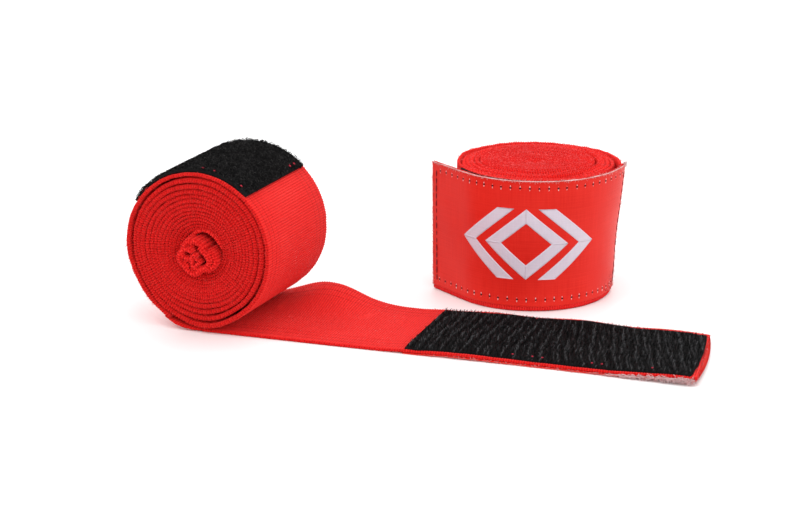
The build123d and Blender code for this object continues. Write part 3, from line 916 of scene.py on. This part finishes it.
right_pile_track = part_track(right_track, 205, 301, BAND / 2 + 0.75)
tape("right_pile_patch", PILE_CLOTH, "right_roll", ("right_pile_patch", "right_pile_stitching"), "folded",
     right_pile_track, PILE_WIDTH, 1.3, columns=12)

# ---------------------------------------------------------------- right closing tab

def tab_track(radius, step, start=ROOT_ANGLE, extra=0.0):
    """The closed tab's line: an arc about the roll, then straight on to the free end."""
    angle = np.linspace(start, BEND_END, 300)
    arc = radius * np.stack([np.cos(angle), np.sin(angle)], axis=1)
    way = np.array([math.sin(BEND_END), -math.cos(BEND_END)])
    line = arc[-1] + np.linspace(0.1, FREE_LENGTH + extra, 80)[:, None] * way
    return Track(np.concatenate([arc, line]), right_origin, EX, EY, EZ, step)


def flare(track, amount):
    """The free end leans out a little, most at its top; the root's side draws in towards its foot."""
    def lift(s, side):
        angle = ROOT_ANGLE - s / (LABEL_RADIUS - 1)
        corner = 1.1 * smooth(-5, 25, side) * nearness(angle, 14, 16)
        free = amount * smooth(track.length - 22, track.length, s) * (0.4 + side / 50)
        return lean_in(angle, side) - corner - free
    return lift


tab_band_track = tab_track(tab_band_mid, RIB_PITCH / RIB_STEPS, extra=-1.0)
tape("right_tab_band", BAND_CLOTH, "right_tab", ("right_tab_band",), "folded",
     tab_band_track, BAND_WIDTH, BAND, columns=14, rib=0.14, scallop=0.3,
     shift=0.15 * drift(tab_band_track.s, 61, 9.0), lift=flare(tab_band_track, 0.6))

hook_line = tab_track(LABEL_RADIUS - LABEL_THICK - BAND - 0.05 - HOOK_BASE / 2, 0.8, extra=-2.0)
tape("right_hook_strip", HOOK_CLOTH, "right_tab", ("right_hook_strip", "right_hook_stitching"), "folded",
     hook_line, HOOK_WIDTH, HOOK_BASE, columns=30, lift=flare(hook_line, 0.6))

count = 1500
pick = np.random.default_rng(15)
s = pick.uniform(0.5, hook_line.length - 0.5, count)
side = pick.uniform(-HOOK_WIDTH / 2 + 0.4, HOOK_WIDTH / 2 - 0.4, count)
on_hook = hook_line.at(s, side, np.full(count, HOOK_BASE / 2 - 0.05))
spin = pick.uniform(0, FULL, count)
frames = turned(on_hook, spin, 0.3 * pick.standard_normal(count))
dress(scatter("right_hooks", hook_shape, frames, 0.8), hook_strand_mat, "right_tab")

label_line = tab_track(LABEL_RADIUS - LABEL_THICK / 2 + 0.02, 0.5, extra=-1.2)
LABEL_LENGTH = label_line.length


def label_ripple(s, side):
    """Small puckers drawn in by the stitch rows near the label's long edges, and slow waves between."""
    side = side - LABEL_RAISE
    near_row = np.exp(-((np.abs(side) - 21.3) / 1.1) ** 2)
    pucker = 0.10 * near_row * (0.6 + 0.4 * np.cos(FULL * s / 3.57))
    slow = 0.10 * np.sin(s / 8.5 + side / 11) + 0.06 * np.sin(s / 3.7 - side / 5)
    edge = -0.14 * smooth(22.4, 24, np.abs(side)) * (0.6 + 0.4 * np.sin(s / 2.1))
    return pucker + slow * 0.8 + edge


def label_lift(s, side):
    return flare(label_line, 0.6)(s, side) + label_ripple(s, side)


label_widths = LABEL_WIDTH + 0.2 * drift(label_line.s, 71, 4.0)
tape("right_label", LABEL_CLOTH, "right_tab", ("right_label",), "folded",
     label_line, label_widths, 0.36, columns=90, shift=LABEL_RAISE, lift=label_lift, rim=2)


def on_label(s, side, off=0.0):
    """Points just off the label's outer face, with the ways along, up and out of it."""
    s, side = np.asarray(s, float), np.asarray(side, float) + LABEL_RAISE
    lift = label_lift(s, side)
    point, along, axis, normal = label_line.at(s, side, lift - 0.18 - off)
    return point, along, axis, -normal


# ---------------------------------------------------------------- motif, stitches and frayed edges

def slab(corners, on_face, off, rows=22, columns=8):
    """A thin four-cornered patch laid on a face: bilinear between its corners, with its own underside."""
    a = np.linspace(0, 1, rows)[:, None, None]
    b = np.linspace(0, 1, columns)[None, :, None]
    c = np.asarray(corners, float)[:, None, None, :]
    flat = (c[0] * (1 - a) + c[1] * a) * (1 - b) + (c[3] * (1 - a) + c[2] * a) * b
    loop = np.concatenate([flat, flat[:, ::-1]], axis=1)
    height = np.concatenate([np.full((rows, columns), off), np.full((rows, columns), -0.12)], axis=1)
    point = on_face(loop[..., 0].ravel(), loop[..., 1].ravel(), height.ravel())[0]
    return point.reshape(rows, 2 * columns, 3), loop


def joined(name, grids, uvs=None):
    """Several closed grids as one piece."""
    verts, quads, ends, first = [], [], [], 0
    for grid in grids:
        rows, cols, _ = grid.shape
        verts.append(grid.reshape(-1, 3))
        q = grid_quads(rows, cols, True, first)
        a, b, c, d = (grid.reshape(-1, 3)[q[:, k] - first] for k in range(4))
        area = np.cross(c - a, d - b)
        caps = [first + np.arange(cols), first + (rows - 1) * cols + np.arange(cols)[::-1]]
        if float((area * (a + b + c + d)).sum()) < 0:
            q = q[:, ::-1]
            caps = [cap[::-1] for cap in caps]
        quads.append(q)
        ends += caps
        first += rows * cols
    return mesh_piece(name, np.concatenate(verts), np.concatenate(quads),
                      None if uvs is None else np.concatenate([u.reshape(-1, 2) for u in uvs]), ends)


def motif_corners(size, height, line, step):
    """Four-cornered strokes of a lozenge frame with a chevron on each side."""
    a, b = size / 2, height / 2
    stroke = line * math.hypot(a, b) / b
    inner = a - stroke
    tip = a + step
    strokes = []
    for x in (-1, 1):
        for y in (-1, 1):
            strokes.append([(x * a, 0), (0, y * b), (0, y * inner * b / a), (x * inner, 0)])
            far_end = x * (tip - a)
            near_end = x * (tip - a - stroke)
            strokes.append([(x * tip, 0), (far_end, y * b), (near_end, y * b), (x * (tip - stroke), 0)])
    return strokes


MOTIF = (32.0, 27.0, 4.2, 11.0)  # size, height, line and step of the motif


def lay_motif(name, middle, face, off, body):
    """The motif on a label's face, its middle at length middle."""
    strokes = [slab([(middle + x, y) for x, y in corners], face, off) for corners in motif_corners(*MOTIF)]
    motif = joined(name, [grid for grid, _ in strokes], [flat for _, flat in strokes])
    dress(motif, motif_mat, body, (name,))


front_s = (ROOT_ANGLE - LABEL_MIDDLE) * (LABEL_RADIUS - LABEL_THICK / 2)
lay_motif("right_label_motif", front_s, on_label, 0.07, "right_tab")


def crosswise(frames):
    """The frames with their first two ways exchanged."""
    point, along, across, out = frames
    return point, across, along, out


ROW_INSET, STITCH_PITCH = 2.7, 3.57
row_s = np.arange(3.4, LABEL_LENGTH - 2.5, STITCH_PITCH)
row_s = row_s + 0.12 * np.random.default_rng(3).standard_normal(len(row_s))
row_v = LABEL_WIDTH / 2 - ROW_INSET
both_s = np.concatenate([row_s, row_s + 0.8])
both_v = np.concatenate([np.full(len(row_s), row_v), np.full(len(row_s), -row_v)])
# painted shade: flat dark blobs on the stitch rows stand for the shade inside each needle hole
hole_shade = scatter("right_needle_holes", blob(1.0, 0.7, 0.16), on_label(both_s, both_v))
dress(hole_shade, hole_shade_mat, "right_tab")
pip_s = np.concatenate([both_s, both_s])
pip_v = np.concatenate([both_v + 0.62, both_v - 0.62])
pip_size = np.random.default_rng(6).uniform(0.3, 1.1, len(pip_s))
pip_frames = crosswise(on_label(pip_s, pip_v, 0.03))
pips = scatter("right_label_stitching", blob(0.75, 0.34, 0.28), pip_frames, pip_size)
dress(pips, pale_thread_mat, "right_tab", ("right_label_stitching",))

column_v = np.arange(-row_v + 0.6, row_v, 2.9)
side_s = np.concatenate([np.full(len(column_v), 2.2), np.full(len(column_v), LABEL_LENGTH - 2.6)])
side_v = np.concatenate([column_v, column_v])
side_size = np.random.default_rng(7).uniform(0.7, 1.15, len(side_s))
side_frames = crosswise(on_label(side_s, side_v, 0.05))
side_threads = scatter("right_side_stitching", blob(2.6, 0.75, 0.45), side_frames, side_size)
dress(side_threads, thread_mat, "right_tab")


def edge_cord(name, points, radius, seed, material):
    """A thin uneven cord along a line of points: rings of wandering radius."""
    points = np.asarray(points, float)
    way = np.gradient(points, axis=0)
    way /= np.linalg.norm(way, axis=1)[:, None]
    guide = np.where(np.abs(way[:, 2:]) > 0.9, np.array([[0.0, 1.0, 0.0]]), np.array([[0.0, 0.0, 1.0]]))
    one = np.cross(way, guide)
    one /= np.linalg.norm(one, axis=1)[:, None]
    two = np.cross(way, one)
    turn = FULL * np.arange(6) / 6
    r = radius * (1 + 0.45 * drift(np.arange(len(points)) * 0.5, seed, 1.7))[:, None, None]
    ring = np.cos(turn)[None, :, None] * one[:, None] + np.sin(turn)[None, :, None] * two[:, None]
    grid = points[:, None] + r * ring
    rows = len(points)
    uv = np.stack([np.repeat(np.arange(rows) * 0.5, 6), np.tile(turn, rows)], axis=1)
    dress(joined(name, [grid], [uv]), material, "right_tab")


edge_v = LABEL_WIDTH / 2
top_line = np.linspace(0, LABEL_LENGTH, 190)
top_points = on_label(top_line, np.full(190, edge_v + 0.05), np.full(190, -0.05))[0]
edge_cord("right_label_top_edge", top_points, 0.15, 91, pale_thread_mat)
for name, place, seed in (("root", 0.05, 93), ("free", LABEL_LENGTH - 0.05, 94)):
    points = on_label(np.full(96, place), np.linspace(-edge_v, edge_v, 96), np.full(96, -0.05))[0]
    edge_cord(f"right_label_{name}_edge", points, 0.14, seed, pink_thread_mat)

# ---------------------------------------------------------------- stitches on the black tapes

dots = np.random.default_rng(12)
stitch_run = np.arange(HOOK_START + 3, HOOK_END - 5, 3.6)
near = stitch_run[(dots.random(len(stitch_run)) < 0.35) & (stitch_run > 112)]
far = stitch_run[dots.random(len(stitch_run)) < 0.12]
run = np.concatenate([near, far])
side = np.concatenate([np.full(len(near), -HOOK_WIDTH / 2 + 2.0), np.full(len(far), HOOK_WIDTH / 2 - 2.0)])
side = side + HOOK_SIDE + 0.1 * dots.standard_normal(len(run))
frames = laid_frames(run, side, np.full(len(run), HOOK_TOP + 0.55))
hook_stitches = scatter("left_hook_stitching", blob(0.8, 0.5, 0.4), frames)
dress(hook_stitches, red_thread_mat, "left_tab", ("left_hook_stitching",))

near_s = pile_track.length - np.array([15.0, 19.5, 4.0])
end_side = np.array([PILE_WIDTH / 2 - 6, PILE_WIDTH / 2 - 9.5])
s = np.concatenate([near_s, np.full(2, pile_track.length - 2.0)])
side = np.concatenate([np.full(3, -PILE_WIDTH / 2 + 1.8), end_side])
frames = pile_track.at(s, side, np.full(len(s), -(PILE_BASE / 2 + 0.5)))
pile_stitches = scatter("left_pile_stitching", blob(1.0, 0.6, 0.5), frames)
dress(pile_stitches, red_thread_mat, "left_roll", ("left_pile_stitching",))


label_middle = (HOOK_START + HOOK_END) / 2 - 6.0
lay_motif("left_label_motif", label_middle, laid_face(0.03, -1), 0.02, "left_tab")

# ---------------------------------------------------------------- loose fibres on the band's edges

fibre_curve = np.array([[0, 0, 0], [0.22, 0, 0.10], [0.45, 0, 0.12], [0.62, 0, 0.02]])
fibre_shape = tube_template(fibre_curve, 0.05)


def rim_fibres(name, track, count, seed, side, lift, body, material):
    """Short fibres lying every way over the rim of a rolled band."""
    pick = np.random.default_rng(seed)
    s = pick.uniform(0, track.length, count)
    across = side(s) + 0.05 * pick.standard_normal(count)
    point, along, axis, normal = track.at(s, across, lift(s, across) + 0.4 * pick.standard_normal(count))
    out = axis * np.sign(side(np.zeros(1))[0])
    spin = pick.uniform(0, FULL, count)
    frames = turned((point, along, normal, out), spin, 0.35 * pick.standard_normal(count))
    made = scatter(name, fibre_shape, frames, pick.uniform(0.6, 1.5, count))
    dress(made, material, body)


rim_fibres("left_face_fibres", left_track, 5200, 21,
           lambda s: -BAND_WIDTH / 2 + np.interp(s, left_track.s, left_shift),
           lambda s, side: 0 * s, "left_roll", red_fibre_mat)
rim_fibres("right_top_fibres", right_track, 4200, 22,
           lambda s: np.interp(s, right_track.s, right_shift + right_width / 2),
           turn_lean, "right_roll", pink_fibre_mat)


def frayed_edge(name, edge, material, count, seed, reach, thickness, body, face):
    """Loose ends along an edge (places along and across): fine threads standing off at random angles."""
    pick = np.random.default_rng(seed)
    places, sides = edge
    index = pick.integers(0, len(places), count)
    s = places[index] + pick.normal(0, 0.25, count)
    v = sides[index] + pick.normal(0, 0.12, count)
    curve = reach * np.array([[0, 0, 0], [0.35, 0, 0.12], [0.7, 0, 0.1], [1, 0, -0.1]])
    spin = pick.uniform(0, FULL, count)
    frames = turned(face(s, v), spin, 0.5 * pick.standard_normal(count))
    made = scatter(name, tube_template(curve, thickness), frames, pick.uniform(0.5, 1.3, count))
    dress(made, material, body)


label_top = np.linspace(0.3, LABEL_LENGTH - 0.3, 240)
label_end_v = np.linspace(-edge_v, edge_v, 110)
label_edge = (
    np.concatenate([label_top, np.full(110, 0.2), np.full(110, LABEL_LENGTH - 0.2)]),
    np.concatenate([np.full(240, edge_v), label_end_v, label_end_v]),
)
label_corner = (np.linspace(0.0, 1.6, 20), np.full(20, edge_v - 0.2))
band_far_edge = (np.linspace(66, 175, 300), np.full(300, 24.9))
end_side = np.linspace(-24.5, 24.5, 200)
band_end = (TAB_END - 1 - 7.0 * (end_side + 25) / 50, end_side)
label_near_edge = (78 + 102 * np.linspace(0, 1, 400) ** 0.55, np.full(400, -edge_v - 1.1))
label_near_end = (150 + 30 * np.linspace(0, 1, 200) ** 0.6, np.full(200, -edge_v - 1.3))
on_laid = laid_face(0.5 + BAND / 2)
at_label = laid_face(0.26)
# Each: name, edge, material, count, seed, reach, thickness, body, face.
for edge_facts in (
    ("right_label_fray", label_edge, pink_thread_mat, 1300, 81, 0.8, 0.05, "right_tab", on_label),
    ("right_corner_tuft", label_corner, pale_thread_mat, 60, 82, 1.4, 0.05, "right_tab", on_label),
    ("left_far_edge_fibres", band_far_edge, red_fibre_mat, 420, 83, 0.9, 0.06, "left_tab", on_laid),
    ("left_end_fibres", band_end, pink_thread_mat, 260, 84, 1.1, 0.06, "left_tab", on_laid),
    ("left_label_fringe", label_near_edge, pink_thread_mat, 900, 85, 0.9, 0.06, "left_tab", at_label),
    ("left_label_pale_fringe", label_near_end, pale_thread_mat, 700, 86, 1.5, 0.07, "left_tab", at_label),
):
    frayed_edge(*edge_facts)

# ---------------------------------------------------------------- camera, light and floor

def aim(obj, place, target):
    """Puts obj at place and points its -Z at target."""
    obj.location = place
    obj.rotation_euler = (Vector(target) - Vector(place)).to_track_quat("-Z", "Y").to_euler()


camera_data = bpy.data.cameras.new("camera")
camera = bpy.data.objects.new("camera", camera_data)
bpy.context.scene.collection.objects.link(camera)
camera_data.sensor_width = 36.0
camera_data.lens = 123.07
camera_data.clip_end = 20.0
target = Vector((0.0598, 0.0199, 0.0200))
azimuth, elevation, distance = math.radians(23.19), math.radians(16.62), 1.0007
level = math.cos(elevation)
back = Vector((math.sin(azimuth) * level, -math.cos(azimuth) * level, math.sin(elevation)))
aim(camera, target + back * distance, target)
bpy.context.scene.camera = camera

floor_mesh = bpy.data.meshes.new("floor")
floor_half = 6.0
floor_mesh.from_pydata([(-floor_half, -floor_half, 0), (floor_half, -floor_half, 0),
                        (floor_half, floor_half, 0), (-floor_half, floor_half, 0)], [], [(0, 1, 2, 3)])
floor = bpy.data.objects.new("floor", floor_mesh)
bpy.context.scene.collection.objects.link(floor)
floor_shader = Shader("pale_floor", Roughness=0.5)
floor_shader.body.inputs["Base Color"].default_value = (0.93, 0.93, 0.93, 1)
floor_mesh.materials.append(floor_shader.material)
floor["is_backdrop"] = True

bpy.context.scene.view_settings.view_transform = "Standard"

world = bpy.data.worlds.new("studio")
bpy.context.scene.world = world
world.use_nodes = True
world.node_tree.nodes["Background"].inputs[0].default_value = (1, 1, 1, 1)
world.node_tree.nodes["Background"].inputs[1].default_value = 1.25


def lamp(name, place, size, power):
    """A square soft light at place, facing the middle of the wraps."""
    data = bpy.data.lights.new(name, "AREA")
    data.size = size
    data.energy = power
    made = bpy.data.objects.new(name, data)
    bpy.context.scene.collection.objects.link(made)
    aim(made, place, (0.07, 0.03, 0.03))


lamp("key", (-0.5, -0.7, 1.2), 0.6, 2.8)
lamp("fill", (1.0, -0.7, 0.6), 0.6, 2.4)
lamp("top", (0.3, 0.5, 1.3), 0.7, 2.6)

sizes = {"cad": cad_box, "visual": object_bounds()}
sizes = {key: [list(map(float, corner)) for corner in box] for key, box in sizes.items()}
